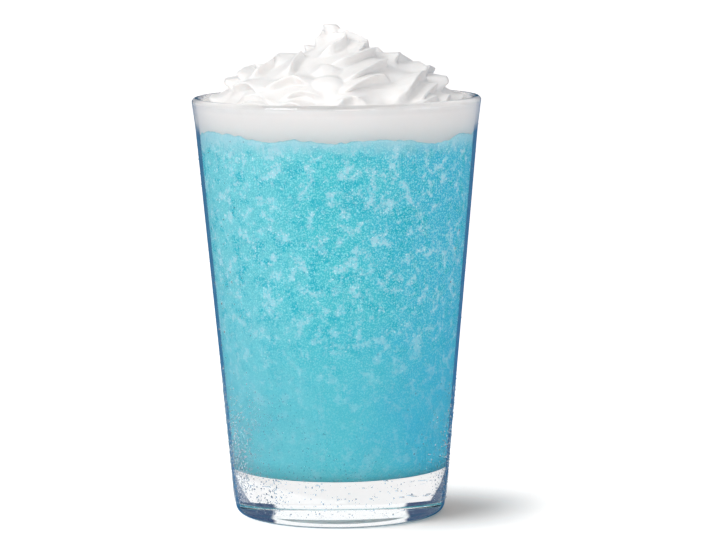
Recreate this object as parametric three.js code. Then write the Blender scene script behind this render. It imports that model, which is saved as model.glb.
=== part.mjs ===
// A blue frozen slush drink in its glass: a thick-bottomed tapered tumbler, the slush that fills
// it to just below the rim, and star-piped whipped cream that seals the slush and stands above
// the glass in a coiled heap. Millimetres, +Z up, the origin under the middle of the foot.
import * as THREE from "three";

// Glass
const GLASS_HEIGHT = 130;
const WALL_RADIUS_AT_RIM = 44.6;
const WALL_RADIUS_AT_FLOOR = 32.8;
const RIM_WALL = 2.4;
const BASE_WALL = 3.4;
const RIM_BEAD = 1.4;
const BASE_THICKNESS = 14.4;
const FOOT_CORNER = 2.6;
const FOOT_RING_WIDTH = 3.6;
const PUNT_DEPTH = 2.2;
const INNER_CORNER = 6;
const SEGMENTS = 56;

// Contents: the gap keeps neighbouring solids apart
const GAP = 0.3;
const SLUSH_LEVEL = 119.4;
const SLUSH_DOME = 1.2;
const CREAM_CONTACT = 128.2;

// Where the round solids have their rings: heights of walls, and shares of a radius on flat faces
const WALL_RINGS = [40, 75, 105, 124];
const FLOOR_RING = 0.5;
const PUNT_RINGS = [0.3, 0.55, 0.75, 0.9];
const TOP_RINGS = [0.3, 0.6, 0.82];
// Heights closer than this are one height
const SAME_HEIGHT = 0.01;

// Heap of cream over the rim: height and radius over the crests of its folds
const HEAP = [
  [128.4, 41.7],
  [129.8, 41.4],
  [131.2, 39.8],
  [133.0, 36.8],
  [136.4, 33.8],
  [138.6, 30.8],
  [141.0, 25.2],
  [145.4, 15.2],
  [147.4, 9.8],
  [149.3, 6.6],
  [151.1, 4.4],
  [152.3, 2.0],
];
const HEAP_TIP = 152.5;
const HEAP_SEGMENTS = 120;
const HEAP_RINGS = 31;
// The height over which the heap's own slope is taken
const SLOPE_SPAN = 1.5;
// How far the crown leans, by height: to +X and to +Y
const CROWN_LEAN = [
  [138.0, 0, 0],
  [146.0, 1.2, -0.4],
  [149.0, 1.4, -1.2],
  [151.0, 0.2, -1.8],
  [152.3, -2.0, -2.4],
];

// Folds: the piped ridges, slumped into leaf-like folds. Each has a kind, the place where its crest
// starts and ends, its arch between them and how far it stands out. A place is an angle in degrees,
// 0 in front and 90 at +X, and a height. The back of the heap repeats the folds of the front.
const FOLD_DEPTH = 3.5;
const FOLD_REACH = 9;
const FOLD_STEPS = 8;
const FOLD_TIPS = 0.2;
const CREST_ROUNDING = 0.9;
// A fold's section is a sharp crest on a broad swell, which shares its height and is wider by breadth
const FOLD_SECTION = { sharp: 0.6, broad: 0.4, breadth: 1.7 };
const FOLD_END_RISE = 0.1;
// How far a fold's slope reaches above and below its crest
const FOLD_SPREAD = {
  draped: { above: 2.6, below: 1.9 },
  upright: { above: 1.9, below: 1.9 },
  crown: { above: 1.6, below: 1.4 },
};
const FOLDS = [
  ["draped", [-71, 133.4], [-36, 132.6], 3.9, 3.5],
  ["draped", [-42, 133.6], [-11, 135.8], 4.1, 3.9],
  ["draped", [-55, 131.4], [-26, 130.2], 3.1, 3.1],
  ["draped", [-30, 131.2], [-5, 132.2], 3.7, 3.4],
  ["draped", [-51, 129.8], [-28, 130.2], 1.6, 2.9],
  ["draped", [-28, 130.2], [-12, 130.0], 1.9, 2.9],
  ["draped", [-3, 129.6], [15, 131.4], 3.4, 3.2],
  ["upright", [25, 130.4], [70, 138.2], 4.0, 3.8],
  ["upright", [35, 130.2], [68, 136.2], 1.6, 3.2],
  ["upright", [29, 129.0], [58, 133.0], 0.9, 3.0],
  ["upright", [48, 129.2], [70, 132.6], 1.2, 2.9],
  ["draped", [-2, 133.0], [34, 138.4], 2.7, 3.8],
  ["draped", [-1, 137.0], [52, 143.0], 2.0, 3.6],
  ["draped", [-14, 142.0], [64, 146.2], 1.4, 3.4],
  ["draped", [-60, 138.2], [-84, 144.6], 0.0, 3.1],
  ["draped", [-34, 139.8], [-60, 146.2], 0.0, 3.0],
  ["draped", [-106, 131.0], [-70, 131.2], 1.0, 2.4],
  ["draped", [-112, 134.0], [-72, 136.0], 1.8, 3.3],
  ["draped", [-110, 138.8], [-76, 141.0], 1.2, 3.1],
  ["draped", [74, 130.6], [108, 130.6], 1.6, 2.6],
  ["draped", [70, 134.6], [108, 134.4], 2.6, 3.3],
  ["draped", [72, 139.2], [110, 137.4], 1.8, 3.3],
  ["draped", [66, 143.2], [110, 142.0], 1.9, 3.1],
];
const CROWN_FOLDS = [
  ["crown", [-30, 145.6], [24, 151.0], 0.5, 3.7],
  ["crown", [-100, 152.0], [-96, 147.6], 0.0, 3.0],
  ["crown", [50, 152.0], [80, 146.8], 0.4, 3.4],
  ["crown", [8, 144.6], [66, 147.6], 1.2, 3.2],
  ["crown", [165, 151.6], [200, 144.0], 0.0, 2.8],
];
// Smooth swellings between the folds: angle, height, width and how far they stand out
const SWELLINGS = [
  [-5, 137.4, 5.5, 3.3],
  [-10, 141.8, 3.6, 2.6],
  [18, 129.8, 4.0, 1.9],
];
// The folds start a little above the glass, grow weaker up the crown and end before its tip
const FOLDS_START = { from: 128.4, to: 130.8 };
const CROWN_START = { from: 146, to: 151, loss: 0.4 };
const TIP_START = { from: 151.2, to: 152.3 };

const COLOURS = { glass: 0xeef4f5, slush: 0x5fc0d2, cream: 0xf7f6f3 };

const lerp = THREE.MathUtils.lerp;
const smoothstep = THREE.MathUtils.smoothstep;
const radians = THREE.MathUtils.degToRad;

// The outer wall runs straight from the floor to the rim, and the inner wall inside it
const outerRadius = (z) => lerp(WALL_RADIUS_AT_FLOOR, WALL_RADIUS_AT_RIM, z / GLASS_HEIGHT);
const wall = (z) => lerp(BASE_WALL, RIM_WALL, smoothstep(z, BASE_THICKNESS, GLASS_HEIGHT));
const innerRadius = (z) => outerRadius(z) - wall(z);

// A quarter, half or other arc of a profile, as points (radius, height)
function arc(centreR, centreZ, radius, fromDegrees, toDegrees, steps) {
  const points = [];
  for (let i = 0; i <= steps; i++) {
    const a = radians(lerp(fromDegrees, toDegrees, i / steps));
    points.push(new THREE.Vector2(centreR + radius * Math.cos(a), centreZ + radius * Math.sin(a)));
  }
  return points;
}

// A profile turned round the Z axis. place(point) may move each point afterwards.
function turned(profile, segments, place) {
  const geometry = new THREE.LatheGeometry(profile, segments);
  geometry.rotateX(Math.PI / 2);
  if (place) {
    const position = geometry.getAttribute("position");
    const point = new THREE.Vector3();
    for (let i = 0; i < position.count; i++) {
      place(point.fromBufferAttribute(position, i));
      position.setXYZ(i, point.x, point.y, point.z);
    }
  }
  return geometry;
}

// The tumbler, from the middle of its hollow underside round the outside and down the inside
function glassGeometry() {
  const footOuter = outerRadius(0) - FOOT_CORNER;
  const footInner = footOuter - FOOT_RING_WIDTH;
  const beadCentre = GLASS_HEIGHT - RIM_BEAD;
  const beadRadius = WALL_RADIUS_AT_RIM - RIM_WALL / 2;
  const floorRadius = innerRadius(BASE_THICKNESS);
  const profile = [new THREE.Vector2(0, PUNT_DEPTH)];
  for (const share of PUNT_RINGS) {
    profile.push(new THREE.Vector2(footInner * share, PUNT_DEPTH * (1 - share ** 4)));
  }
  profile.push(new THREE.Vector2(footInner, 0));
  profile.push(...arc(footOuter, FOOT_CORNER, FOOT_CORNER, -90, -5, 4));
  for (const z of WALL_RINGS) profile.push(new THREE.Vector2(outerRadius(z), z));
  profile.push(...arc(beadRadius, beadCentre, RIM_BEAD, -20, 200, 8));
  for (const z of [...WALL_RINGS].reverse()) profile.push(new THREE.Vector2(innerRadius(z), z));
  const cornerZ = BASE_THICKNESS + INNER_CORNER;
  profile.push(...arc(innerRadius(cornerZ) - INNER_CORNER, cornerZ, INNER_CORNER, 0, -90, 4));
  profile.push(new THREE.Vector2(floorRadius * FLOOR_RING, BASE_THICKNESS));
  profile.push(new THREE.Vector2(0, BASE_THICKNESS));
  return turned(profile, SEGMENTS);
}

// How far the meeting line of slush and cream stands above or below its level, round the glass
function slushWave(angle) {
  return (
    0.75 * Math.sin(2 * angle + 0.6) +
    0.55 * Math.sin(5 * angle + 1.9) +
    0.45 * Math.sin(9 * angle - 0.4) +
    0.3 * Math.sin(14 * angle + 2.2)
  );
}

// The slush is domed in the middle and wavy where it meets the glass
function slushTop(point) {
  const share = Math.hypot(point.x, point.y) / innerRadius(SLUSH_LEVEL);
  const wave = slushWave(Math.atan2(point.y, point.x)) * share ** 3;
  return SLUSH_LEVEL + SLUSH_DOME * (1 - share * share) + wave;
}

function slushGeometry() {
  const floor = BASE_THICKNESS + GAP;
  const cornerZ = floor + INNER_CORNER;
  const corner = innerRadius(cornerZ) - GAP - INNER_CORNER;
  const topRadius = innerRadius(SLUSH_LEVEL) - GAP;
  const profile = [new THREE.Vector2(0, floor), new THREE.Vector2(corner * FLOOR_RING, floor)];
  profile.push(...arc(corner, cornerZ, INNER_CORNER, -90, 0, 4));
  for (const z of WALL_RINGS) {
    if (z < SLUSH_LEVEL) profile.push(new THREE.Vector2(innerRadius(z) - GAP, z));
  }
  profile.push(new THREE.Vector2(topRadius, SLUSH_LEVEL));
  for (const share of [...TOP_RINGS].reverse()) {
    profile.push(new THREE.Vector2(topRadius * share, SLUSH_LEVEL));
  }
  profile.push(new THREE.Vector2(0, SLUSH_LEVEL));
  return turned(profile, SEGMENTS, (point) => {
    if (point.z > SLUSH_LEVEL - SAME_HEIGHT) point.z = slushTop(point);
  });
}

// The values of a table's rows [key, value, ...] at a key between two rows
function read(table, key) {
  let row = 1;
  while (row < table.length - 1 && table[row][0] < key) row++;
  const [low, high] = [table[row - 1], table[row]];
  const share = THREE.MathUtils.clamp((key - low[0]) / (high[0] - low[0]), 0, 1);
  return high.slice(1).map((value, i) => lerp(low[i + 1], value, share));
}

const heapRadius = (height) => read(HEAP, height)[0];

// A place on the heap before it is folded, by its angle in radians and its height
function onHeap(angle, height) {
  const radius = heapRadius(height);
  return new THREE.Vector3(radius * Math.sin(angle), -radius * Math.cos(angle), height);
}

// A fold with the stretches of its crest, turned round the heap by an angle
function foldAt([kind, start, end, arch, standOut], turn) {
  const crestAt = (share) => {
    const angle = radians(lerp(start[0], end[0], share)) + turn;
    return onHeap(angle, lerp(start[1], end[1], share) + 4 * arch * share * (1 - share));
  };
  const stretches = [];
  for (let i = 0; i < FOLD_STEPS; i++) {
    stretches.push(new THREE.Line3(crestAt(i / FOLD_STEPS), crestAt((i + 1) / FOLD_STEPS)));
  }
  return { stretches, standOut, spread: FOLD_SPREAD[kind] };
}

const folds = [
  ...FOLDS.map((fold) => foldAt(fold, 0)),
  ...FOLDS.map((fold) => foldAt(fold, Math.PI)),
  ...CROWN_FOLDS.map((fold) => foldAt(fold, 0)),
];

// How far one fold draws the heap out at a place whose outward direction is known
function foldRise({ stretches, standOut, spread }, place, outwards) {
  const nearest = { distance: FOLD_REACH };
  const closest = new THREE.Vector3();
  stretches.forEach((stretch, i) => {
    const share = stretch.closestPointToPointParameter(place, true);
    const distance = stretch.at(share, closest).distanceTo(place);
    if (distance >= nearest.distance) return;
    const side = stretch.delta(new THREE.Vector3()).cross(place.clone().sub(closest)).dot(outwards);
    Object.assign(nearest, { distance, along: (i + share) / FOLD_STEPS, above: side > 0 });
  });
  if (nearest.distance === FOLD_REACH) return 0;
  const reach = nearest.above ? spread.above : spread.below;
  const away = (Math.hypot(nearest.distance, CREST_ROUNDING) - CREST_ROUNDING) / reach;
  const { sharp, broad, breadth } = FOLD_SECTION;
  const slope = sharp * Math.exp(-away) + broad * Math.exp(-((away / breadth) ** 2));
  const ends = smoothstep(nearest.along, 0, FOLD_TIPS) * (1 - smoothstep(nearest.along, 1 - FOLD_TIPS, 1));
  return standOut * slope * lerp(FOLD_END_RISE, 1, ends);
}

// How far the folds and swellings together draw the heap out at a place
function drawnOut(place, outwards) {
  let rise = 0;
  for (const fold of folds) rise = Math.max(rise, foldRise(fold, place, outwards));
  for (const [angle, height, width, standOut] of SWELLINGS) {
    for (const turn of [0, Math.PI]) {
      const away = onHeap(radians(angle) + turn, height).distanceTo(place);
      rise = Math.max(rise, standOut * Math.exp(-((away / width) ** 2)));
    }
  }
  return rise;
}

// Moves a point of the heap to its place: sunk between the folds, drawn out along them, and leaning
function shapeHeap(point) {
  const height = point.z;
  const narrowing = heapRadius(height - SLOPE_SPAN / 2) - heapRadius(height + SLOPE_SPAN / 2);
  const outwards = new THREE.Vector3(point.x, point.y, 0).setLength(SLOPE_SPAN).setZ(narrowing).normalize();
  const start = smoothstep(height, FOLDS_START.from, FOLDS_START.to);
  const crown = 1 - CROWN_START.loss * smoothstep(height, CROWN_START.from, CROWN_START.to);
  const tip = 1 - smoothstep(height, TIP_START.from, TIP_START.to);
  point.addScaledVector(outwards, (drawnOut(point, outwards) - FOLD_DEPTH) * start * crown * tip);
  const [toRight, toBack] = read(CROWN_LEAN, height);
  point.x += toRight;
  point.y += toBack;
}

// Heights that divide the heap's profile into stretches of equal length
function heapHeights() {
  const outline = HEAP.map(([height, radius]) => new THREE.Vector2(radius, height));
  const path = new THREE.CurvePath();
  for (let i = 1; i < outline.length; i++) path.add(new THREE.LineCurve(outline[i - 1], outline[i]));
  const heights = [];
  for (let i = 0; i < HEAP_RINGS; i++) heights.push(path.getPointAt(i / (HEAP_RINGS - 1)).y);
  return heights;
}

// The whole cream: from the slush up the glass's inside, and over the heap from its foot to its tip
function creamGeometry() {
  const lowRadius = innerRadius(SLUSH_LEVEL) - GAP;
  const profile = [new THREE.Vector2(0, SLUSH_LEVEL)];
  for (const share of TOP_RINGS) profile.push(new THREE.Vector2(lowRadius * share, SLUSH_LEVEL));
  profile.push(new THREE.Vector2(lowRadius, SLUSH_LEVEL));
  profile.push(new THREE.Vector2(innerRadius(CREAM_CONTACT) - GAP, CREAM_CONTACT));
  for (const height of heapHeights()) profile.push(new THREE.Vector2(heapRadius(height), height));
  profile.push(new THREE.Vector2(0, HEAP_TIP));
  const heapFoot = HEAP[0][0] - SAME_HEIGHT;
  return turned(profile, HEAP_SEGMENTS, (point) => {
    if (point.z < SLUSH_LEVEL + SAME_HEIGHT) point.z = slushTop(point) + GAP;
    else if (point.z > HEAP_TIP - SAME_HEIGHT) point.set(...read(CROWN_LEAN, HEAP_TIP), HEAP_TIP);
    else if (point.z > heapFoot) shapeHeap(point);
  });
}

const group = new THREE.Group();

function addPart(name, geometry, look) {
  const mesh = new THREE.Mesh(geometry, new THREE.MeshStandardMaterial(look));
  mesh.name = name;
  group.add(mesh);
}

addPart("glass", glassGeometry(), {
  color: COLOURS.glass,
  roughness: 0.03,
  metalness: 0,
  transparent: true,
  opacity: 0.35,
});
addPart("slush", slushGeometry(), { color: COLOURS.slush, roughness: 0.4, metalness: 0 });
addPart("cream", creamGeometry(), { color: COLOURS.cream, roughness: 0.45, metalness: 0 });

export default group;
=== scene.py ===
# %% [markdown]
# A frozen slush drink in its glass.
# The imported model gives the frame: a tapered tumbler, the slush inside it and the heap of piped
# cream. This lesson dresses that frame: a smooth thick-bottomed glass, icy slush pressed against
# its wall, cream drawn out into soft folds, and the water that condenses on cold glass.

# %% The frame
import math
import random
import bpy
import numpy as np
from mathutils import Euler, Matrix, Vector, noise


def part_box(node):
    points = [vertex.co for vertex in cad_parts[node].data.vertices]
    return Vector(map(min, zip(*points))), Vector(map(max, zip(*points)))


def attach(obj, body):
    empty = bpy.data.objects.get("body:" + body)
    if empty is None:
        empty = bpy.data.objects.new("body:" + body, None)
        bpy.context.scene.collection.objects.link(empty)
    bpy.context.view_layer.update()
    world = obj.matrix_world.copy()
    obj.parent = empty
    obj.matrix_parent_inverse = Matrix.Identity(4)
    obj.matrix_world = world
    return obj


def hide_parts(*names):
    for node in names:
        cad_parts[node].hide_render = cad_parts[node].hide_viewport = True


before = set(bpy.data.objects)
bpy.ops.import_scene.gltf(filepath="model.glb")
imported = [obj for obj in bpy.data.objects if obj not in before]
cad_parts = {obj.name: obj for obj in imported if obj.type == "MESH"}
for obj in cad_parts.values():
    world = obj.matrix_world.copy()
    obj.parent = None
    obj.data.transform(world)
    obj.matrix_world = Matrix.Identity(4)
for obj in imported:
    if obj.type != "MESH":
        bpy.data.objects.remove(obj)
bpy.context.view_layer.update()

MM = 0.001
print("nodes in the frame:", sorted(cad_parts))

# %% [markdown]
# Three habits keep the work clean. Everything is deselected before a new piece is started. A
# modifier is applied as soon as it has its settings. And each finished piece is given its body
# in one place, where the frame's node that it replaces is hidden.


# %% Workbench
def deselect():
    if bpy.context.mode != "OBJECT":
        bpy.ops.object.mode_set(mode="OBJECT")
    bpy.ops.object.select_all(action="DESELECT")


def work_on(piece):
    deselect()
    piece.select_set(True)
    bpy.context.view_layer.objects.active = piece


def apply_modifier(piece, kind, **settings):
    modifier = piece.modifiers.new(kind.title(), kind)
    for name, value in settings.items():
        setattr(modifier, name, value)
    work_on(piece)
    bpy.ops.object.modifier_apply(modifier=modifier.name)


def close_and_turn_out(piece, merge=0.002 * MM):
    """Merges doubled points, and turns every face outwards."""
    work_on(piece)
    bpy.ops.object.mode_set(mode="EDIT")
    bpy.ops.mesh.select_all(action="SELECT")
    bpy.ops.mesh.remove_doubles(threshold=merge)
    bpy.ops.mesh.normals_make_consistent(inside=False)
    bpy.ops.object.mode_set(mode="OBJECT")


def lerp(a, b, share):
    return a + (b - a) * share


def smoothstep(value, low, high):
    share = min(1.0, max(0.0, (value - low) / (high - low)))
    return share * share * (3 - 2 * share)


# %% [markdown]
# The glass's sizes. Its height comes from the frame, and the rest repeats the tumbler's design:
# straight outer walls that lean out, an inner wall a little steeper, a thick base with a shallow
# hollow under it, and a rounded rim. All of these are in millimetres.

# %% The tumbler's sizes
glass_low, glass_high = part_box("glass")
GLASS_HEIGHT = (glass_high.z - glass_low.z) / MM
RIM_RADIUS = 44.6
FOOT_RADIUS = 32.8
RIM_WALL = 2.4
BASE_WALL = 3.4
RIM_BEAD = 1.4
BASE_THICKNESS = 14.4
FOOT_CORNER = 2.6
FOOT_RING_WIDTH = 3.6
PUNT_DEPTH = 2.2
INNER_CORNER = 6
SLUSH_LEVEL = 119.4
CREAM_CONTACT = 128.2
print("glass height in mm:", round(GLASS_HEIGHT, 2))


def outer_radius(z):
    return lerp(FOOT_RADIUS, RIM_RADIUS, z / GLASS_HEIGHT)


def inner_radius(z):
    return outer_radius(z) - lerp(BASE_WALL, RIM_WALL, smoothstep(z, BASE_THICKNESS, GLASS_HEIGHT))


def arc(centre, radius, start, end, steps):
    """Points (radius, height) of an arc, its angles in degrees."""
    angles = [math.radians(lerp(start, end, i / steps)) for i in range(steps + 1)]
    return [(centre[0] + radius * math.cos(a), centre[1] + radius * math.sin(a)) for a in angles]


# %% [markdown]
# A glass is a turned thing, so it is made as a turner would: half of its outline is drawn once
# and spun round the upright axis. In Blender a plane merged to one point is the pencil, each
# extrude draws the next stretch of the outline, and spin turns it. The same tool serves for
# everything round in this drink.


# %% The lathe
def turned(name, outline, steps):
    """Draws an outline of (radius, height) points in millimetres and spins it into a closed piece."""
    deselect()
    bpy.ops.mesh.primitive_plane_add(size=MM, location=(outline[0][0] * MM, 0, outline[0][1] * MM))
    piece = bpy.context.object
    piece.name = name
    bpy.ops.object.transform_apply(location=True, rotation=True, scale=True)
    bpy.ops.object.mode_set(mode="EDIT")
    bpy.ops.mesh.select_all(action="SELECT")
    bpy.ops.mesh.merge(type="CENTER")
    for last, point in zip(outline, outline[1:]):
        move = ((point[0] - last[0]) * MM, 0, (point[1] - last[1]) * MM)
        bpy.ops.mesh.extrude_region_move(TRANSFORM_OT_translate={"value": move})
    bpy.ops.mesh.select_all(action="SELECT")
    bpy.ops.mesh.spin(steps=steps, angle=2 * math.pi, center=(0, 0, 0), axis=(0, 0, 1))
    bpy.ops.object.mode_set(mode="OBJECT")
    close_and_turn_out(piece)
    return piece


# %% [markdown]
# The tumbler's outline starts in the middle of the hollow under the foot, runs round the foot
# ring and up the outside, over the rim bead, down the inside and across the floor. A cylinder
# hollowed by an inset would give the same walls, but not its corners. They are arcs here, because
# cast glass has no sharp edges, and the arcs make the bright and dark lines that say "glass".

# %% The tumbler's outline
PUNT_STEPS = 12
PUNT_CURVE = 4
WALL_STEPS = 16
CORNER_STEPS = 10
BEAD_STEPS = 20

foot_outer = outer_radius(0) - FOOT_CORNER
foot_inner = foot_outer - FOOT_RING_WIDTH
bead_centre = (RIM_RADIUS - RIM_WALL / 2, GLASS_HEIGHT - RIM_BEAD)
corner_height = BASE_THICKNESS + INNER_CORNER
corner_centre = (inner_radius(corner_height) - INNER_CORNER, corner_height)

glass_outline = []
for i in range(PUNT_STEPS + 1):
    rise = PUNT_DEPTH * (1 - (i / PUNT_STEPS) ** PUNT_CURVE)
    glass_outline.append((foot_inner * i / PUNT_STEPS, rise))
glass_outline += arc((foot_outer, FOOT_CORNER), FOOT_CORNER, start=-90, end=-5, steps=CORNER_STEPS)
for i in range(1, WALL_STEPS):
    height = lerp(FOOT_CORNER, GLASS_HEIGHT - RIM_BEAD, i / WALL_STEPS)
    glass_outline.append((outer_radius(height), height))
glass_outline += arc(bead_centre, RIM_BEAD, start=-20, end=200, steps=BEAD_STEPS)
for i in range(1, WALL_STEPS):
    height = lerp(GLASS_HEIGHT - 2 * RIM_BEAD, corner_height, i / WALL_STEPS)
    glass_outline.append((inner_radius(height), height))
glass_outline += arc(corner_centre, INNER_CORNER, start=0, end=-90, steps=CORNER_STEPS)
glass_outline.append((0, BASE_THICKNESS))
print("tumbler's outline:", len(glass_outline), "points")

# %% [markdown]
# The outline is spun in many steps, because the picture shows the glass's edge against white,
# where a facet would be seen at once.

# %% The tumbler
GLASS_STEPS = 224
SMOOTH_BELOW = math.radians(50)
tumbler = turned("tumbler", glass_outline, GLASS_STEPS)
work_on(tumbler)
bpy.ops.object.shade_smooth_by_angle(angle=SMOOTH_BELOW)
print("tumbler:", len(tumbler.data.polygons), "faces")

# %% [markdown]
# The slush fills the glass. A gap of air between drink and glass would turn the wall into a
# mirror, so this piece reaches a fraction of a millimetre into the wall: then the picture shows
# ice pressed against glass. Its upper edge is wavy, where the cream sank in unevenly, and the
# wave is a sum of four sines, so that it closes on itself all the way round.

# %% The slush's outline
INTO_WALL = 0.3
SLUSH_ROWS = 90
SLUSH_CORNER_STEPS = 8
TOP_SHARES = (0.97, 0.9, 0.7, 0.4, 0)
# Each wave of the upper line: its height, how often it rises round the glass, and its start
LINE_WAVES = ((0.75, 2, 0.6), (0.55, 5, 1.9), (0.45, 9, -0.4), (0.3, 14, 2.2))


def slush_wave(angle):
    return sum(height * math.sin(count * angle + start) for height, count, start in LINE_WAVES)


slush_outline = [(0, BASE_THICKNESS - INTO_WALL)]
slush_outline += arc(corner_centre, INNER_CORNER + INTO_WALL, start=-90, end=0, steps=SLUSH_CORNER_STEPS)
for i in range(1, SLUSH_ROWS + 1):
    height = lerp(corner_height, SLUSH_LEVEL, i / SLUSH_ROWS)
    slush_outline.append((inner_radius(height) + INTO_WALL, height))
slush_edge = inner_radius(SLUSH_LEVEL) + INTO_WALL
slush_outline += [(slush_edge * share, SLUSH_LEVEL) for share in TOP_SHARES]
print("slush's outline:", len(slush_outline), "points")

# %% [markdown]
# Crushed ice isn't smooth, not even against glass. Noise of two sizes sinks the turned surface a
# little way back from the wall, and coarser noise roughens the upper line. A displacement in the
# material would do it too, but only moved points are still there when the model is exported.

# %% The slush
SLUSH_STEPS = 384
LINE_ROUGHNESS = 0.8
LINE_LUMP = 2.2
LINE_FADE = 12
TOP_DOME = 1.2
ICE_RELIEF = 0.18
LUMP_SIZE = 1.9
CRUMB_SIZE = 0.9
CRUMB_SHARE = 0.6
RELIEF_RANGE = 0.9
RELIEF_FADE = (6, 3)
SAME_HEIGHT = 0.01

slush = turned("slush_ice", slush_outline, SLUSH_STEPS)
for point in slush.data.vertices:
    angle = math.atan2(point.co.y, point.co.x)
    radius = math.hypot(point.co.x, point.co.y)
    height = point.co.z / MM
    share = radius / MM / slush_edge
    lift = slush_wave(angle) + LINE_ROUGHNESS * noise.noise(point.co / (LINE_LUMP * MM))
    lift *= smoothstep(height, SLUSH_LEVEL - LINE_FADE, SLUSH_LEVEL) * share**3
    if height > SLUSH_LEVEL - SAME_HEIGHT:
        lift += TOP_DOME * (1 - share * share)
    point.co.z += lift * MM
    if corner_height < height < SLUSH_LEVEL - RELIEF_FADE[1]:
        bump = noise.noise(point.co / (LUMP_SIZE * MM))
        bump += CRUMB_SHARE * noise.noise(point.co / (CRUMB_SIZE * MM))
        sink = ICE_RELIEF * MM * smoothstep(bump, -RELIEF_RANGE, RELIEF_RANGE)
        sink *= 1 - smoothstep(height, SLUSH_LEVEL - RELIEF_FADE[0], SLUSH_LEVEL - RELIEF_FADE[1])
        point.co.x -= point.co.x / radius * sink
        point.co.y -= point.co.y / radius * sink
work_on(slush)
bpy.ops.object.shade_smooth()
print("slush:", len(slush.data.polygons), "faces")

# %% [markdown]
# The cream is piped from a star nozzle in a coil that climbs to a crown. Its ridges slump while
# they are still soft, so what remains is a heap covered with leaf-like folds: each has a sharp
# crest, a wide gentle slope above it and a steep underside. Carrying a star along the coil gave
# ridges that were too even. So the heap is turned on the lathe and then drawn out along every
# fold, as a spoon would draw it.

# %% The heap's sizes
# Height and radius of the heap over its crests
HEAP = (
    (128.4, 42.3),
    (129.8, 41.5),
    (131.2, 39.8),
    (133.0, 36.8),
    (136.4, 33.8),
    (138.6, 30.8),
    (141.0, 25.2),
    (145.4, 15.2),
    (147.4, 9.8),
    (149.3, 6.6),
    (151.1, 4.4),
    (152.3, 2.0),
)
HEAP_TIP = 152.5
# How far the crown leans to the side and to the front, by height
CROWN_LEAN = ((138, 0, 0), (146, 1.2, -0.4), (149, 1.4, -1.2), (151, 0.2, -1.8), (152.3, -2.0, -2.4))
print("cream above the rim in mm:", round(HEAP_TIP - GLASS_HEIGHT, 1))

# %% [markdown]
# Every fold is one line of this table: its kind, where its crest starts and ends, how far it
# arches up between them and how far it stands out. A place is an angle round the heap, 0 in front
# and 90 at the right, and a height. The back of the heap repeats the folds of the front.

# %% The folds
FOLDS = (
    ("draped", (-71, 133.4), (-36, 132.6), 3.9, 3.5),
    ("draped", (-42, 133.6), (-11, 135.8), 4.1, 3.9),
    ("draped", (-55, 131.4), (-26, 130.2), 3.1, 3.1),
    ("draped", (-30, 131.2), (-5, 132.2), 3.7, 3.4),
    ("draped", (-51, 129.8), (-28, 130.2), 1.6, 2.9),
    ("draped", (-28, 130.2), (-12, 130.0), 1.9, 2.9),
    ("draped", (-3, 129.6), (15, 131.4), 3.4, 3.2),
    ("upright", (25, 130.4), (70, 138.2), 4.0, 3.8),
    ("upright", (35, 130.2), (68, 136.2), 1.6, 3.2),
    ("upright", (29, 129.0), (58, 133.0), 0.9, 3.0),
    ("upright", (48, 129.2), (70, 132.6), 1.2, 2.9),
    ("draped", (-2, 133.0), (34, 138.4), 2.7, 3.8),
    ("draped", (-1, 137.0), (52, 143.0), 2.0, 3.6),
    ("draped", (-14, 142.0), (64, 146.2), 1.4, 3.4),
    ("draped", (-60, 138.2), (-84, 144.6), 0.0, 3.1),
    ("draped", (-34, 139.8), (-60, 146.2), 0.0, 3.0),
    ("draped", (-106, 131.0), (-70, 131.2), 1.0, 2.4),
    ("draped", (-112, 134.0), (-72, 136.0), 1.8, 3.3),
    ("draped", (-110, 138.8), (-76, 141.0), 1.2, 3.1),
    ("draped", (74, 130.6), (108, 130.6), 1.6, 2.6),
    ("draped", (70, 134.6), (108, 134.4), 2.6, 3.3),
    ("draped", (72, 139.2), (110, 137.4), 1.8, 3.3),
    ("draped", (66, 143.2), (110, 142.0), 1.9, 3.1),
)
CROWN_FOLDS = (
    ("crown", (-30, 145.6), (24, 151.0), 0.5, 3.7),
    ("crown", (-100, 152.0), (-96, 147.6), 0.0, 3.0),
    ("crown", (50, 152.0), (80, 146.8), 0.4, 3.4),
    ("crown", (8, 144.6), (66, 147.6), 1.2, 3.2),
    ("crown", (165, 151.6), (200, 144.0), 0.0, 2.8),
)
# Smooth swellings between the folds: angle, height, width and how far they stand out
SWELLINGS = ((-5, 137.4, 5.5, 3.3), (-10, 141.8, 3.6, 2.6), (18, 129.8, 4.0, 1.9))
print("folds:", 2 * len(FOLDS) + len(CROWN_FOLDS))

# %% [markdown]
# A crest is a line that lies on the heap. It is laid there in short straight steps, which later
# measure how far every place of the cream is from the fold.

# %% Lines on the heap
FOLD_STEPS = 24


def ramp(values, low, high):
    share = np.clip((values - low) / (high - low), 0, 1)
    return share * share * (3 - 2 * share)


def on_heap(angle, height):
    radius = np.interp(height, *zip(*HEAP))
    return np.stack([radius * np.sin(angle), -radius * np.cos(angle), height + 0 * angle], axis=-1)


def crest(start, end, arch, turn):
    """The line of a fold's crest over the heap, turned round it by an angle."""
    share = np.linspace(0, 1, FOLD_STEPS + 1)
    angle = np.radians(lerp(start[0], end[0], share)) + turn
    return on_heap(angle, lerp(start[1], end[1], share) + 4 * arch * share * (1 - share))


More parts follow.
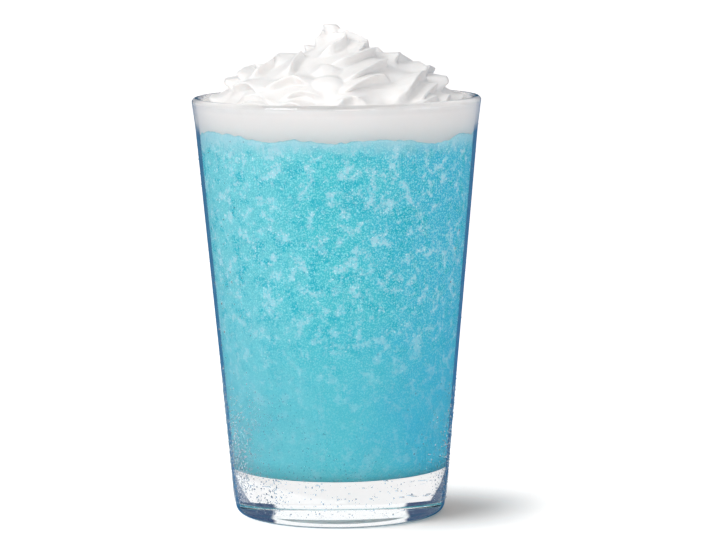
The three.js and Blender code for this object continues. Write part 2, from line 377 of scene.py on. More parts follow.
def beside(line, places, outwards):
    """How far places are from a line and along it, which lie above it, and the line's heading."""
    nearest = np.full(len(places), np.inf)
    along = np.zeros(len(places))
    above = np.zeros(len(places))
    heading = np.zeros((len(places), 3))
    for i, (start, end) in enumerate(zip(line, line[1:])):
        stretch = end - start
        share = np.clip((places - start) @ stretch / (stretch @ stretch), 0, 1)
        offset = places - start - share[:, None] * stretch
        distance = np.linalg.norm(offset, axis=1)
        closer = distance < nearest
        nearest[closer] = distance[closer]
        along[closer] = (i + share[closer]) / FOLD_STEPS
        above[closer] = (np.cross(stretch, offset[closer]) * outwards[closer]).sum(axis=1)
        heading[closer] = stretch / np.linalg.norm(stretch)
    return nearest, along, above > 0, heading


# %% [markdown]
# For each point of the lathe's surface the nearest point of the crest is found. The distance
# gives how far the cream is drawn out there, and the side tells the wide slope from the steep
# underside. A drawn-out fold also leans over its underside, which gives the dark little overhangs.

# %% How the folds draw the heap out
FOLD_LEAN = 0.55
FOLD_REACH = 9
SIFT_STEP = 3
CREST_ROUNDING = 0.2
# How far a fold's slope reaches above and below its crest
FOLD_SPREAD = {"draped": (2.3, 0.8), "upright": (1.2, 1.5), "crown": (1.3, 0.9)}
# A fold's section is a sharp crest on a broad swelling
SHARP_SHARE = 0.6
BROAD_SHARE = 0.4
BROAD_WIDTH = 1.7
# Along a fold: where it is fully drawn out, where it sinks again, and what is left at its ends
FOLD_FULL = 0.22
FOLD_SINKS = 0.8
END_SHARE = 0.1
NEARLY_NONE = 1e-9


def folded(places, outwards):
    """How far each place of the heap is drawn out, and the way the folds lean there."""
    rise = np.zeros(len(places))
    weight = np.full(len(places), NEARLY_NONE)
    lean = np.zeros((len(places), 3))
    turned_folds = [(fold, turn) for turn in (0, math.pi) for fold in FOLDS]
    turned_folds += [(fold, 0) for fold in CROWN_FOLDS]
    for (kind, start, end, arch, stand_out), turn in turned_folds:
        line = crest(start, end, arch, turn)
        gaps = np.linalg.norm(places[:, None] - line[None, ::SIFT_STEP], axis=2)
        near = np.flatnonzero(gaps.min(axis=1) < FOLD_REACH)
        distance, along, above, heading = beside(line, places[near], outwards[near])
        distance = np.hypot(distance, CREST_ROUNDING) - CREST_ROUNDING
        distance /= np.where(above, *FOLD_SPREAD[kind])
        slope = SHARP_SHARE * np.exp(-distance) + BROAD_SHARE * np.exp(-((distance / BROAD_WIDTH) ** 2))
        ends = ramp(along, 0, FOLD_FULL) * (1 - ramp(along, FOLD_SINKS, 1))
        height = stand_out * slope * lerp(END_SHARE, 1, ends)
        rise[near] = np.maximum(rise[near], height)
        weight[near] += height**2
        lean[near] += (height**2 * ends)[:, None] * np.cross(heading, outwards[near])
    for angle, height, width, stand_out in SWELLINGS:
        for turn in (0, math.pi):
            gap = np.linalg.norm(places - on_heap(math.radians(angle) + turn, height), axis=1)
            rise = np.maximum(rise, stand_out * np.exp(-((gap / width) ** 2)))
    return rise, FOLD_LEAN * lean / weight[:, None]


# %% [markdown]
# The whole heap first sinks by the depth of a fold, so that the crests come back up to its
# outline. Near the rim and at the very tip the folds fade out, and the crown leans over last.

# %% The heap's finished form
FOLD_DEPTH = 3.5
SLOPE_SPAN = 1.5
FOLDS_FULL_AT = 130.8
CROWN_START = (146, 151)
CROWN_LOSS = 0.4
TIP_START = (151.2, 152.3)


def shaped(places):
    """The heap's finished places: sunk between the folds, drawn out along them, the crown leaning."""
    height = places[:, 2]
    radius_below = np.interp(height - SLOPE_SPAN / 2, *zip(*HEAP))
    radius_above = np.interp(height + SLOPE_SPAN / 2, *zip(*HEAP))
    outwards = places * (1, 1, 0) / np.linalg.norm(places[:, :2], axis=1)[:, None] * SLOPE_SPAN
    outwards[:, 2] = radius_below - radius_above
    outwards /= np.linalg.norm(outwards, axis=1)[:, None]
    rise, lean = folded(places, outwards)
    fade = ramp(height, HEAP[0][0], FOLDS_FULL_AT)
    fade *= 1 - CROWN_LOSS * ramp(height, *CROWN_START)
    fade *= 1 - ramp(height, *TIP_START)
    drawn = places + fade[:, None] * ((rise - FOLD_DEPTH)[:, None] * outwards + rise[:, None] * lean)
    levels, to_right, to_back = zip(*CROWN_LEAN)
    drawn[:, 0] += np.interp(height, levels, to_right)
    drawn[:, 1] += np.interp(height, levels, to_back)
    return drawn


# %% [markdown]
# The cream's outline starts inside the slush, runs up the glass to just under the rim and over
# the heap in even steps. Below, it follows the slush's wavy line and hides a little way inside.

# %% The cream's outline
CREAM_INTO_WALL = 0.22
BELOW_LINE = 1.5
CREAM_MIDDLE = 123.5
UNDER_SHARE = 0.6
HEAP_ROWS = 200
FINE_ROWS = 4000

cream_bottom = SLUSH_LEVEL - BELOW_LINE
cream_outline = [(0, cream_bottom), (inner_radius(SLUSH_LEVEL) * UNDER_SHARE, cream_bottom)]
for height in (cream_bottom, CREAM_MIDDLE, CREAM_CONTACT):
    cream_outline.append((inner_radius(height) + CREAM_INTO_WALL, height))
fine = np.linspace(HEAP[0][0], HEAP[-1][0], FINE_ROWS)
fine_radius = np.interp(fine, *zip(*HEAP))
run = np.concatenate([[0], np.cumsum(np.hypot(np.diff(fine), np.diff(fine_radius)))])
for height in np.interp(np.linspace(0, run[-1], HEAP_ROWS), run, fine):
    cream_outline.append((float(np.interp(height, *zip(*HEAP))), float(height)))
cream_outline.append((0, HEAP_TIP))
print("cream's outline:", len(cream_outline), "points")

# %% [markdown]
# The outline is spun, the heap is drawn out along its folds, and the underside is fitted to the
# slush's wave. One light smoothing rounds the crests, as soft cream rounds itself.

# %% The cream
CREAM_STEPS = 440
UNDERSIDE_BAND = 0.1

cream = turned("whipped_cream", cream_outline, CREAM_STEPS)
places = np.array([point.co for point in cream.data.vertices]) / MM
in_heap = (places[:, 2] > HEAP[0][0] - SAME_HEIGHT) & (places[:, 2] < HEAP_TIP - SAME_HEIGHT)
places[in_heap] = shaped(places[in_heap])
places[places[:, 2] > HEAP_TIP - SAME_HEIGHT, :2] = CROWN_LEAN[-1][1:]
for point, place in zip(cream.data.vertices, places):
    if place[2] < cream_bottom + UNDERSIDE_BAND:
        share = math.hypot(place[0], place[1]) / slush_edge
        place[2] += slush_wave(math.atan2(place[1], place[0])) * share**3
    point.co = place * MM
soft = cream.vertex_groups.new(name="heap")
soft.add([int(i) for i in np.flatnonzero(in_heap)], 1, "REPLACE")
apply_modifier(cream, "SMOOTH", factor=0.5, iterations=1, vertex_group="heap")
work_on(cream)
bpy.ops.object.shade_smooth()
print("cream:", len(cream.data.polygons), "faces")

# %% [markdown]
# Cold glass draws water out of the air. Each drop is a low dome that stands just off the wall. It
# could be a whole small ball, half sunk in the glass, but a halved one has half the faces, and
# thousands of them are needed. So a ball is cut in two and pressed a little flatter.

# %% One drop
DROP_SEGMENTS = 6
DROP_RINGS = 4
DROP_HEIGHT = 0.75
deselect()
bpy.ops.mesh.primitive_uv_sphere_add(segments=DROP_SEGMENTS, ring_count=DROP_RINGS, radius=1)
drop = bpy.context.object
bpy.ops.object.mode_set(mode="EDIT")
bpy.ops.mesh.select_all(action="SELECT")
bpy.ops.mesh.bisect(plane_co=(0, 0, 0), plane_no=(0, 0, 1), use_fill=True, clear_inner=True)
bpy.ops.mesh.select_all(action="SELECT")
bpy.ops.transform.resize(value=(1, 1, DROP_HEIGHT))
bpy.ops.mesh.normals_make_consistent(inside=False)
bpy.ops.object.mode_set(mode="OBJECT")
drop_points = np.array([point.co for point in drop.data.vertices])
drop_faces = [tuple(face.vertices) for face in drop.data.polygons]
bpy.data.objects.remove(drop)
print("drop:", len(drop_faces), "faces")

# %% [markdown]
# Drops gather where the glass is coldest, near the foot, and most of all at two opposite sides,
# of which the picture shows the left one. Noise breaks them up into patches. This says how many
# of them stay at each place.

# %% Where the glass is wet
WET_SIDE = math.radians(205)
WETTEST_BELOW = 10
DRIEST_ABOVE = 52
DRY_SHARE = 0.02
FAR_SIDE_SHARE = 0.06
THIN_PATCH_SHARE = 0.3
PATCH_RANGE = (-0.3, 0.4)
PATCHES_ROUND = 3
PATCH_HEIGHT = 14


def how_wet(angle, height):
    """The share of drops kept at a place: most at the foot and on the wet side, in patches."""
    low = 1 - smoothstep(height, WETTEST_BELOW, DRIEST_ABOVE)
    spot = Vector((PATCHES_ROUND * math.cos(angle), PATCHES_ROUND * math.sin(angle), height / PATCH_HEIGHT))
    patch = smoothstep(noise.noise(spot), *PATCH_RANGE)
    side = lerp(FAR_SIDE_SHARE, 1, math.cos(angle - WET_SIDE) ** 4)
    return lerp(DRY_SHARE, 1, low) * lerp(THIN_PATCH_SHARE, 1, patch) * side


# %% [markdown]
# A seeded loop draws places over the whole wall and keeps the wet ones. Many drops are fine and a
# few are large, as they are when small drops have begun to run together. All of them go into one
# mesh, because thousands of objects would slow Blender down.

# %% The drops on the glass
DROPS = 7600
DROP_SIZES = (0.09, 0.30)
FINENESS = 3
LONGEST_DROP = 1.35
DROP_CLEARANCE = 0.015
HIGHEST_DROP = GLASS_HEIGHT - 6
LOWEST_DROP = FOOT_CORNER + 1
DROP_EDGES = math.radians(60)
draw = random.Random(11)
wall_lean = math.atan2(RIM_RADIUS - FOOT_RADIUS, GLASS_HEIGHT)


def drop_at(angle, height, size, stretch):
    """The points of one drop on the wall, a little longer than it is wide."""
    level = math.cos(wall_lean)
    outwards = Vector((math.cos(angle) * level, math.sin(angle) * level, -math.sin(wall_lean)))
    sideways = Vector((-math.sin(angle), math.cos(angle), 0))
    upwards = outwards.cross(sideways)
    place = Vector((math.cos(angle), math.sin(angle), 0)) * outer_radius(height) + Vector((0, 0, height))
    place += outwards * DROP_CLEARANCE
    axes = np.array([sideways, upwards * stretch, outwards]) * size
    return drop_points @ axes + np.array(place)


points = []
faces = []
while len(points) < DROPS:
    angle = draw.uniform(0, 2 * math.pi)
    height = draw.uniform(LOWEST_DROP, HIGHEST_DROP)
    if draw.random() > how_wet(angle, height):
        continue
    size = lerp(*DROP_SIZES, draw.random() ** FINENESS)
    stretch = draw.uniform(1, LONGEST_DROP)
    first = len(points) * len(drop_points)
    points.append(drop_at(angle, height, size, stretch))
    faces += [tuple(first + corner for corner in face) for face in drop_faces]
drops_mesh = bpy.data.meshes.new("condensation")
drops_mesh.from_pydata([tuple(point) for point in np.concatenate(points) * MM], [], faces)
drops = bpy.data.objects.new("condensation", drops_mesh)
bpy.context.scene.collection.objects.link(drops)
work_on(drops)
bpy.ops.object.shade_smooth_by_angle(angle=DROP_EDGES)
print("condensation:", DROPS, "drops,", len(faces), "faces")

# %% [markdown]
# Finishes are built from nodes on Object coordinates, which are metres on the piece itself, so
# a noise scale of one thousand makes grains of about a millimetre.


# %% Node helpers
def new_finish(name):
    finish = bpy.data.materials.new(name)
    finish.use_nodes = True
    tree = finish.node_tree
    return finish, tree, tree.nodes["Principled BSDF"]


def coordinates(tree):
    return tree.nodes.new("ShaderNodeTexCoord").outputs["Object"]


def along_axis(tree, place, axis):
    node = tree.nodes.new("ShaderNodeSeparateXYZ")
    tree.links.new(place, node.inputs["Vector"])
    return node.outputs[axis]


def grain(tree, place, size_mm, detail=2, roughness=0.5):
    """Noise whose grains are about size_mm across. Its value runs from 0 to 1."""
    node = tree.nodes.new("ShaderNodeTexNoise")
    node.inputs["Scale"].default_value = 1 / (size_mm * MM)
    node.inputs["Detail"].default_value = detail
    node.inputs["Roughness"].default_value = roughness
    tree.links.new(place, node.inputs["Vector"])
    return node.outputs["Fac"]


def between(tree, value, low, high, to_low=0.0, to_high=1.0):
    """Spreads the stretch from low to high of a value over to_low to to_high, smoothly."""
    node = tree.nodes.new("ShaderNodeMapRange")
    node.interpolation_type = "SMOOTHSTEP"
    for name, number in zip(("From Min", "From Max", "To Min", "To Max"), (low, high, to_low, to_high)):
        node.inputs[name].default_value = number
    tree.links.new(value, node.inputs["Value"])
    return node.outputs["Result"]


def reckoned(tree, kind, first, second):
    """A sum, product or other reckoning of two values, each a linked socket or a plain number."""
    node = tree.nodes.new("ShaderNodeMath")
    node.operation = kind
    for socket, value in zip(node.inputs, (first, second)):
        if isinstance(value, (int, float)):
            socket.default_value = value
        else:
            tree.links.new(value, socket)
    return node.outputs["Value"]


def times(tree, first, second):
    return reckoned(tree, "MULTIPLY", first, second)


def mixed(tree, share, first, second):
    """Mixes two colours, each a linked socket or a plain (red, green, blue)."""
    node = tree.nodes.new("ShaderNodeMix")
    node.data_type = "RGBA"
    tree.links.new(share, node.inputs["Factor"])
    for socket, colour in ((node.inputs["A"], first), (node.inputs["B"], second)):
        if isinstance(colour, tuple):
            socket.default_value = (*colour, 1)
        else:
            tree.links.new(colour, socket)
    return node.outputs["Result"]


# %% [markdown]
# Glass shows its edges because it mirrors most where it turns away from the eye. Layer Weight
# measures that turn, and it steers how metallic, so how mirroring, the surface is. Seen from high
# above the whole wall is turned away, so a second Layer Weight, which is given an upright
# direction in place of the surface's own, takes the mirror back there.


# %% Gloss helpers
def turned_away(tree, low, high, most):
    """From 0 to most as the surface turns away from the eye, between the weights low and high."""
    node = tree.nodes.new("ShaderNodeLayerWeight")
    node.inputs["Blend"].default_value = 0.5
    return between(tree, node.outputs["Facing"], low, high, 0.0, most)


def seen_level(tree, high_view, level_view):
    """1 where the line of sight is about level, and 0 where it comes from high above."""
    upright = tree.nodes.new("ShaderNodeCombineXYZ")
    upright.inputs["Z"].default_value = 1
    node = tree.nodes.new("ShaderNodeLayerWeight")
    node.inputs["Blend"].default_value = 0.5
    tree.links.new(upright.outputs["Vector"], node.inputs["Normal"])
    return between(tree, node.outputs["Facing"], high_view, level_view)


# %% [markdown]
# Glass is clear and smooth. What the eye sees of it is the light it bends, so it needs a true
# refractive index and almost no colour. Only the bead of the rim is tinted a little grey, a
# painted shade that darkens the rim line. A fine film of mist makes the sheen softer, and the
# edge's mirror runs from the slush's upper line down, as blue shows there in the picture.

# %% Glass finish
CLEAR = (0.99, 1.0, 1.0)
RIM_PAINTED_GREY = (0.87, 0.87, 0.875)
RIM_BAND = (GLASS_HEIGHT - 3.8, GLASS_HEIGHT - 2.4)
MIST = 0.05
MIST_PATCH = 6
MIST_RANGE = (0.4, 0.7)
EDGE_TURN = (0.755, 0.785)
EDGE_MIRROR = 0.9
EDGE_TOP = (SLUSH_LEVEL + 3.6, SLUSH_LEVEL - 0.4)
EDGE_ABOVE = 0.15
SIGHT = (0.5, 0.8)

glass_finish, tree, shader = new_finish("clear_glass")
shader.inputs["Transmission Weight"].default_value = 1
shader.inputs["IOR"].default_value = 1.5
place = coordinates(tree)
height = along_axis(tree, place, "Z")
# Painted shade: the rim bead is tinted grey to darken the rim line.
in_rim = between(tree, height, RIM_BAND[0] * MM, RIM_BAND[1] * MM)
tree.links.new(mixed(tree, in_rim, CLEAR, RIM_PAINTED_GREY), shader.inputs["Base Color"])
mist = between(tree, grain(tree, place, MIST_PATCH, detail=4), *MIST_RANGE, 0.0, MIST)
tree.links.new(mist, shader.inputs["Roughness"])
beside_slush = between(tree, height, EDGE_TOP[0] * MM, EDGE_TOP[1] * MM, EDGE_ABOVE, 1.0)
gloss = times(tree, turned_away(tree, *EDGE_TURN, EDGE_MIRROR), beside_slush)
gloss = times(tree, gloss, seen_level(tree, *SIGHT))
tree.links.new(gloss, shader.inputs["Metallic"])
tumbler.data.materials.append(glass_finish)
print("glass finish:", len(tree.nodes), "nodes")

# %% [markdown]
# Water bends light less than glass does. Each drop is far too small to show what lies behind it,
# so it is read as a dark or a bright speck. A blue-grey tint, painted shade that darkens the clear
# water, and a mirroring edge give that.

# %% Water finish
WATER_PAINTED_DARKER = (0.62, 0.74, 0.84)
DROP_TURN = (0.55, 0.9)
DROP_MIRROR = 0.3
DROP_ROUGHNESS = 0.03
FILM_PATCH = 2
FILM_RANGE = (0.3, 0.7)

water_finish, tree, shader = new_finish("condensed_water")
# Painted shade: the blue-grey tint darkens the drops.
shader.inputs["Base Color"].default_value = (*WATER_PAINTED_DARKER, 1)
shader.inputs["Transmission Weight"].default_value = 1
shader.inputs["IOR"].default_value = 1.33
film = between(tree, grain(tree, coordinates(tree), FILM_PATCH), *FILM_RANGE, 0.0, DROP_ROUGHNESS)
tree.links.new(film, shader.inputs["Roughness"])
tree.links.new(turned_away(tree, *DROP_TURN, DROP_MIRROR), shader.inputs["Metallic"])
drops.data.materials.append(water_finish)
print("water finish:", len(tree.nodes), "nodes")

# %% [markdown]
# Slush is crushed ice in blue syrup. One plain blue would look like paint, so the colour is laid
# down in layers, each mixed over the last one. The first is the syrup's own blue, a little
# greener above. Over it come a painted shade, a deeper and bluer colour towards the right, and a
# painted light, a paler colour towards the left, where the light comes from. Noise of 14 mm keeps
# the borders between them uneven.

# %% The slush's body colour
SLUSH_BLUE = (0.078, 0.59, 0.665)
LOWER_BLUE = (0.125, 0.60, 0.69)
PAINTED_SHADE_BLUE = (0.055, 0.49, 0.71)
FROST_AND_PAINTED_LIGHT = (0.56, 0.78, 0.86)
# All of these are metres on the drink: heights, and places from left to right
LOWER_TO_UPPER = (0.035, 0.085)
SHADE_TOWARDS_RIGHT = (0.012, 0.050)
LIGHT_TOWARDS_LEFT = (0.015, -0.020)
DRIFT = 0.03
DRIFT_PATCH = 14
PAINTED_SHADE_SHARE = 0.85
PAINTED_LIGHT_SHARE = 0.22

slush_finish, tree, shader = new_finish("icy_slush")
place = coordinates(tree)
height = along_axis(tree, place, "Z")
body = mixed(tree, between(tree, height, *LOWER_TO_UPPER), LOWER_BLUE, SLUSH_BLUE)
drift = times(tree, grain(tree, place, DRIFT_PATCH), DRIFT)
drift = reckoned(tree, "ADD", along_axis(tree, place, "X"), drift)
# Painted shade: the blue darkens towards the right. Painted light: it turns paler towards the left.
body = mixed(tree, between(tree, drift, *SHADE_TOWARDS_RIGHT, 0.0, PAINTED_SHADE_SHARE), body, PAINTED_SHADE_BLUE)
body = mixed(tree, between(tree, drift, *LIGHT_TOWARDS_LEFT, 0.0, PAINTED_LIGHT_SHARE), body, FROST_AND_PAINTED_LIGHT)
print("body colour:", len(tree.nodes), "nodes")

# %% [markdown]
# Ice floats, so the upper half of the drink is full of grains, and the lower part is smooth. All
# that follows is therefore weaker below. First come pools of clear deep syrup, and then frosty
# clusters a few millimetres wide. The clusters read the noise from another place, so that they
# don't lie on the pools.

# %% Pools and clusters
SYRUP = (0.02, 0.48, 0.60)
SMOOTH_UP_TO = 0.03
GRAINY_FROM = 0.085
POOLS_FULL_FROM = 0.08
POOL_SIZE = 4.5
POOL_RANGE = (0.52, 0.36)
CLUSTER_SIZE = 3.6
CLUSTER_RANGE = (0.50, 0.62)
ELSEWHERE = (0.05, 0.05, 0.05)


def towards_top(weak, strong, full_from=GRAINY_FROM):
    """From weak in the smooth lower part of the drink to strong in its grainy upper part."""
    return between(tree, height, SMOOTH_UP_TO, full_from, weak, strong)


def shifted(tree, place, by):
    """The same coordinates read elsewhere, so that two noises of one size don't agree."""
    node = tree.nodes.new("ShaderNodeVectorMath")
    node.operation = "ADD"
    node.inputs[1].default_value = by
    tree.links.new(place, node.inputs[0])
    return node.outputs["Vector"]


pools = between(tree, grain(tree, place, POOL_SIZE, detail=6, roughness=0.62), *POOL_RANGE)
pools = times(tree, pools, towards_top(weak=0.1, strong=0.9, full_from=POOLS_FULL_FROM))
body = mixed(tree, pools, body, SYRUP)
flakes = grain(tree, shifted(tree, place, ELSEWHERE), CLUSTER_SIZE, detail=7, roughness=0.75)
clusters = times(tree, between(tree, flakes, *CLUSTER_RANGE), towards_top(weak=0.2, strong=0.9))
body = mixed(tree, clusters, body, FROST_AND_PAINTED_LIGHT)
print("with pools and clusters:", len(tree.nodes), "nodes")

# %% [markdown]
# Then come the single crystals: pale ones under half a millimetre everywhere, and painted glints,
# bright painted highlights where a crystal lies flat against the glass. The glints are round spots
# in some of the cells of a Voronoi pattern, and they are strongest in the frosty clusters.

# %% Crystals and glints
ICE = (0.35, 0.85, 0.90)
CRYSTAL_SIZE = 0.42
CRYSTAL_RANGE = (0.46, 0.66)
PAINTED_GLINT = (0.80, 0.96, 1.0)
GLINT_SPACING = 0.75
GLINT_SIZE = 0.40
GLINTS_LEFT_OUT = 0.66
SHARP_PART = 0.4
CLUSTER_EDGE = (0.0, 0.5)
OUTSIDE_CLUSTERS = 0.45


def specks(tree, place, spacing_mm, size, left_out):
    """Round specks in a share of the cells of a Voronoi pattern. size is a share of the spacing."""
    node = tree.nodes.new("ShaderNodeTexVoronoi")
    node.inputs["Scale"].default_value = 1 / (spacing_mm * MM)
    tree.links.new(place, node.inputs["Vector"])
    spot = between(tree, node.outputs["Distance"], size, size * SHARP_PART)
    chance = tree.nodes.new("ShaderNodeSeparateColor")
    tree.links.new(node.outputs["Color"], chance.inputs["Color"])
    return times(tree, spot, reckoned(tree, "GREATER_THAN", chance.outputs["Red"], left_out))


crystals = between(tree, grain(tree, place, CRYSTAL_SIZE, detail=1), *CRYSTAL_RANGE)
body = mixed(tree, times(tree, crystals, towards_top(weak=0.25, strong=0.75)), body, ICE)
glints = specks(tree, place, GLINT_SPACING, GLINT_SIZE, GLINTS_LEFT_OUT)
glints = times(tree, glints, towards_top(weak=0.2, strong=0.9))
glints = times(tree, glints, between(tree, clusters, *CLUSTER_EDGE, OUTSIDE_CLUSTERS, 1.0))
# Painted highlights: bright glints mixed into the colour.
body = mixed(tree, glints, body, PAINTED_GLINT)
print("with crystals and glints:", len(tree.nodes), "nodes")

# %% [markdown]
# Two places are special. Just under the cream the slush is milky, with an uneven border. And its
# flat underside is painted pale, a painted reflection: the thick glass base mirrors it, and a blue
# one would put a blue arc into the base, which the picture doesn't show. Light goes a short way
# into the ice, so the surface has weak subsurface scattering and next to no gloss of its own under
# the glass.

# %% Slush finish
MILKY = (0.45, 0.73, 0.81)
MILK_BAND = (SLUSH_LEVEL - 2.4, SLUSH_LEVEL + 4.1)
MILK_UNEVEN = 0.008
MILK_PATCH = 3
MILK_SHARE = 0.8
UNDERSIDE_PAINTED_PALE = (0.80, 0.83, 0.84)
UNDERSIDE_EDGE = (BASE_THICKNESS - 0.05, BASE_THICKNESS - 0.25)
UNDERSIDE_SHARE = 0.9

uneven = times(tree, grain(tree, place, MILK_PATCH, detail=4), MILK_UNEVEN)
milk_height = reckoned(tree, "ADD", height, uneven)
milk = between(tree, milk_height, MILK_BAND[0] * MM, MILK_BAND[1] * MM, 0.0, MILK_SHARE)
body = mixed(tree, milk, body, MILKY)
# Painted reflection: the underside is painted pale, so that the base mirrors pale.
below = between(tree, height, UNDERSIDE_EDGE[0] * MM, UNDERSIDE_EDGE[1] * MM, 0.0, UNDERSIDE_SHARE)
body = mixed(tree, below, body, UNDERSIDE_PAINTED_PALE)
tree.links.new(body, shader.inputs["Base Color"])
shader.inputs["Roughness"].default_value = 0.5
shader.inputs["Specular IOR Level"].default_value = 0.1
shader.inputs["IOR"].default_value = 1.35
shader.inputs["Subsurface Weight"].default_value = 0.15
shader.inputs["Subsurface Radius"].default_value = (0.3, 0.8, 1.0)
shader.inputs["Subsurface Scale"].default_value = 0.6 * MM
slush.data.materials.append(slush_finish)
print("slush finish:", len(tree.nodes), "nodes")

# %% [markdown]
# Whipped cream is white fat and air: light goes in, scatters and comes out again a millimetre
# away, which fills its grooves with soft light. It is faintly warm, with a weak wet sheen and
# tiny bubbles in its surface.

# %% Cream finish
SHADED_CREAM = (0.845, 0.83, 0.815)
BRIGHT_CREAM = (0.875, 0.865, 0.855)
CREAM_PAINTED_IN_GLASS = (0.86, 0.83, 0.82)
IN_GLASS_BAND = (GLASS_HEIGHT - 1.5, GLASS_HEIGHT - 3.5)
TONE_PATCH = 5
TONE_RANGE = (0.3, 0.7)
BUBBLE_SIZE = 0.4

cream_finish, tree, shader = new_finish("piped_cream")
place = coordinates(tree)
tone = between(tree, grain(tree, place, TONE_PATCH, detail=3), *TONE_RANGE)
white = mixed(tree, tone, SHADED_CREAM, BRIGHT_CREAM)
height = along_axis(tree, place, "Z")
# Painted light: below the rim the cream gets its own colour, which sets how light it looks through the
# glass.
painted_in_glass = between(tree, height, IN_GLASS_BAND[0] * MM, IN_GLASS_BAND[1] * MM)
tree.links.new(mixed(tree, painted_in_glass, white, CREAM_PAINTED_IN_GLASS), shader.inputs["Base Color"])
shader.inputs["Roughness"].default_value = 0.45
shader.inputs["Subsurface Weight"].default_value = 0.5
shader.inputs["Subsurface Radius"].default_value = (1.0, 0.9, 0.85)
shader.inputs["Subsurface Scale"].default_value = 1.2 * MM
bubbles = tree.nodes.new("ShaderNodeBump")
bubbles.inputs["Strength"].default_value = 0.08
bubbles.inputs["Distance"].default_value = 0.05 * MM
tree.links.new(grain(tree, place, BUBBLE_SIZE, detail=3), bubbles.inputs["Height"])
tree.links.new(bubbles.outputs["Normal"], shader.inputs["Normal"])
cream.data.materials.append(cream_finish)
print("cream finish:", len(tree.nodes), "nodes")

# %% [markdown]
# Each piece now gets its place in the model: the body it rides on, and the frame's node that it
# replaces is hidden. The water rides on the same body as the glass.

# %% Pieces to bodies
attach(tumbler, "root")
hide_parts("glass")
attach(slush, "root")
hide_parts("slush")
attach(cream, "root")
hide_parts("cream")
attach(drops, "root")

# %% [markdown]
# The drink stands on a pale floor in a bright studio. The floor is so bright that it melts into
# the background, as on a photographer's light table, and only the soft shadow shows it. Around
# the shadow's place beside the foot the glow is left out and the floor is painted darker, a
# painted shadow that deepens the real one. For the glass's mirror the floor is painted deep blue,
# a painted reflection that gives the glass its blue edge line.

# %% Floor
FLOOR_RADIUS = 6
FLOOR_SIDES = 96
FLOOR_PATCH = 40
BELOW_FOOT = 0.0002
SHADOW_PLACE = (0.030, -0.002, 0)
PALE_FLOOR = (0.80, 0.76, 0.74)
PALER_FLOOR = (0.82, 0.78, 0.76)
PAINTED_SHADOW_FLOOR = (0.76, 0.69, 0.655)
PAINTED_SHADOW_REACH = (0.026, 0.004)
MIRRORED_FLOOR = (0.005, 0.14, 0.34)
GLOW_REACH = (0.008, 0.052)
GLOW = 0.62
GLOW_THROUGH_GLASS = 0.5

deselect()
bpy.ops.mesh.primitive_circle_add(
    vertices=FLOOR_SIDES, radius=FLOOR_RADIUS, fill_type="NGON", location=(0, 0, -BELOW_FOOT)
)
floor = bpy.context.object
floor.name = "floor"
bpy.ops.object.transform_apply(location=True, rotation=True, scale=True)


def mirror_rays(tree):
    """1 for light that reaches the eye by way of a mirror, such as the sheen of the glass."""
    rays = tree.nodes.new("ShaderNodeLightPath")
    return times(tree, rays.outputs["Is Reflection Ray"], rays.outputs["Is Glossy Ray"])


floor_finish, tree, shader = new_finish("light_table")
place = coordinates(tree)
distance = tree.nodes.new("ShaderNodeVectorMath")
distance.operation = "DISTANCE"
distance.inputs[1].default_value = SHADOW_PLACE
tree.links.new(place, distance.inputs[0])
pale = mixed(tree, grain(tree, place, FLOOR_PATCH), PALE_FLOOR, PALER_FLOOR)
# Painted shadow: the floor is darker around the shadow's place.
pale = mixed(tree, between(tree, distance.outputs["Value"], *PAINTED_SHADOW_REACH), pale, PAINTED_SHADOW_FLOOR)
# Painted reflection: for mirror rays the floor is deep blue.
pale = mixed(tree, mirror_rays(tree), pale, MIRRORED_FLOOR)
tree.links.new(pale, shader.inputs["Base Color"])
shader.inputs["Roughness"].default_value = 0.9
# Painted shadow: the glow is left out around the shadow's place.
glow = between(tree, distance.outputs["Value"], *GLOW_REACH, 0.0, GLOW)
rays = tree.nodes.new("ShaderNodeLightPath")
through = times(tree, rays.outputs["Is Transmission Ray"], GLOW_THROUGH_GLASS)
seen = reckoned(tree, "MAXIMUM", rays.outputs["Is Camera Ray"], through)
shader.inputs["Emission Color"].default_value = (1, 1, 1, 1)
tree.links.new(times(tree, seen, glow), shader.inputs["Emission Strength"])
floor.data.materials.append(floor_finish)
print("floor finish:", len(tree.nodes), "nodes")

# %% [markdown]
# The studio is one world background that answers differently to different light. What is lit by
# it gets a soft white room with a darker flag at either side, which shapes the cream. What is
# seen behind or through the glass is white, with a dark screen at either side, and these draw
# the dark patches in the thick base. Mirrored, the room is dark at the horizon.

# %% Studio room
BACKDROP = (1.05, 1.05, 1.05)
ROOM = (0.61, 0.61, 0.61)
FLAG = (0.42, 0.45, 0.52)
FLAG_TOP = (0.75, 0.3)
RIGHT_FLAG = (0.35, 0.85)
LEFT_FLAG = (-0.8, -0.98)
SIDE_SCREEN = (0.05, 0.08, 0.16)
SIDE_SCREEN_EDGE = (0.43, 0.48)
SCREEN = (0.03, 0.09, 0.17)
CEILING = (1.0, 1.0, 1.0)
SCREEN_TOP = (0.12, 0.6)

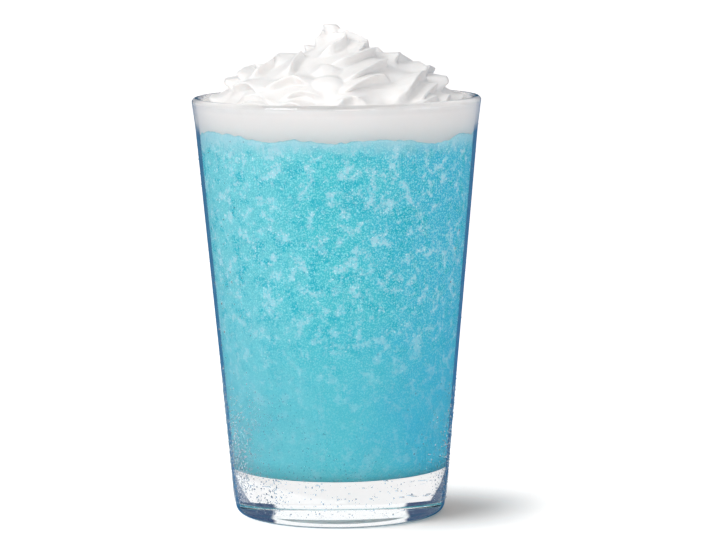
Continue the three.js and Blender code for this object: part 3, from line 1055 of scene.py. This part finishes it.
world = bpy.data.worlds.new("studio")
bpy.context.scene.world = world
world.use_nodes = True
tree = world.node_tree
direction = tree.nodes.new("ShaderNodeSeparateXYZ")
tree.links.new(tree.nodes.new("ShaderNodeTexCoord").outputs["Generated"], direction.inputs["Vector"])
height = direction.outputs["Z"]
sideways = direction.outputs["X"]
mirrored = mixed(tree, between(tree, height, *SCREEN_TOP), SCREEN, CEILING)
low = between(tree, height, *FLAG_TOP)
right_flag = times(tree, low, between(tree, sideways, *RIGHT_FLAG))
left_flag = times(tree, low, between(tree, sideways, *LEFT_FLAG))
room = mixed(tree, reckoned(tree, "MAXIMUM", right_flag, left_flag), ROOM, FLAG)
rays = tree.nodes.new("ShaderNodeLightPath")
through_glass = rays.outputs["Is Transmission Ray"]
far_out = between(tree, reckoned(tree, "ABSOLUTE", sideways, 0), *SIDE_SCREEN_EDGE)
backdrop = mixed(tree, times(tree, far_out, through_glass), BACKDROP, SIDE_SCREEN)
print("room:", len(tree.nodes), "nodes")

# %% [markdown]
# Light that falls through the glass onto the drink is a case of its own. Blender follows light
# backwards from the eye, so this is light that has scattered once and then left through glass.
# The glass loses much of it at the drink's sides, where a real drink stays bright. So for such
# light the room is brighter, most of all at the left and right.

# %% Light inside the glass
ROOM_IN_GLASS = (1.0, 1.0, 1.0)
RIGHT_IN_GLASS = (2.3, 2.3, 2.3)
LEFT_IN_GLASS = (2.0, 2.0, 2.0)
FULLY_SIDEWAYS = 0.75
ONE_SCATTER = 0.5

scattered = reckoned(tree, "GREATER_THAN", rays.outputs["Diffuse Depth"], ONE_SCATTER)
inside = times(tree, scattered, through_glass)
within = mixed(tree, between(tree, sideways, 0, FULLY_SIDEWAYS), ROOM_IN_GLASS, RIGHT_IN_GLASS)
within = mixed(tree, between(tree, sideways, 0, -FULLY_SIDEWAYS), within, LEFT_IN_GLASS)
behind = reckoned(tree, "MAXIMUM", rays.outputs["Is Camera Ray"], through_glass)
seen = mixed(tree, inside, backdrop, within)
light = mixed(tree, mirror_rays(tree), mixed(tree, behind, room, seen), mirrored)
tree.links.new(light, tree.nodes["Background"].inputs["Color"])
print("studio:", len(tree.nodes), "nodes")

# %% [markdown]
# Two soft boxes do the modelling. The key stands at the left above the camera's height and gives
# the folds their bright and shaded sides, and throws the shadow to the right. The fill is large
# and low, a little to the right of the camera, and keeps the grooves from going grey.


# %% Lamps
def soft_box(name, location, size, power, aim=(0, 0, 0.08)):
    light = bpy.data.lights.new(name, "AREA")
    light.energy = power
    light.size = size
    lamp = bpy.data.objects.new(name, light)
    lamp.location = location
    lamp.rotation_euler = (Vector(aim) - Vector(location)).to_track_quat("-Z", "Y").to_euler()
    bpy.context.scene.collection.objects.link(lamp)
    return lamp


key = soft_box("key", location=(-0.75, -0.7, 0.75), size=0.5, power=7)
fill = soft_box("fill", location=(0.35, -1.3, 0.3), size=0.8, power=4.5)
bpy.context.scene.view_settings.view_transform = "Standard"
bpy.context.scene.cycles.use_denoising = True
print("lamps:", key.name, fill.name)

# %% [markdown]
# The camera looks slightly down from a metre away, through a long lens. Its place follows from
# the picture: how round the rim and the foot look gives its height, and the glass's width gives
# the lens. The image is 720 by 560 pixels.

# %% Camera
IMAGE_WIDTH = 720
FOCAL_PIXELS = 3232
AXIS_PIXEL = 338.2
CAMERA_BACK = 1.0
CAMERA_HEIGHT = 0.1961
AIM_HEIGHT = 0.0726
ROLL = 0.01
SENSOR_MM = 36

camera_data = bpy.data.cameras.new("camera")
camera_data.sensor_width = SENSOR_MM
camera_data.lens = FOCAL_PIXELS * SENSOR_MM / IMAGE_WIDTH
camera_data.shift_x = (IMAGE_WIDTH / 2 - AXIS_PIXEL) / IMAGE_WIDTH
camera = bpy.data.objects.new("camera", camera_data)
bpy.context.scene.collection.objects.link(camera)
camera.location = (0, -CAMERA_BACK, CAMERA_HEIGHT)
tilt = math.atan2(CAMERA_HEIGHT - AIM_HEIGHT, CAMERA_BACK)
aim = Euler((math.pi / 2 - tilt, 0, 0)).to_matrix() @ Matrix.Rotation(-ROLL, 3, "Z")
camera.rotation_euler = aim.to_euler()
bpy.context.scene.camera = camera
print("lens in mm:", round(camera_data.lens, 1))
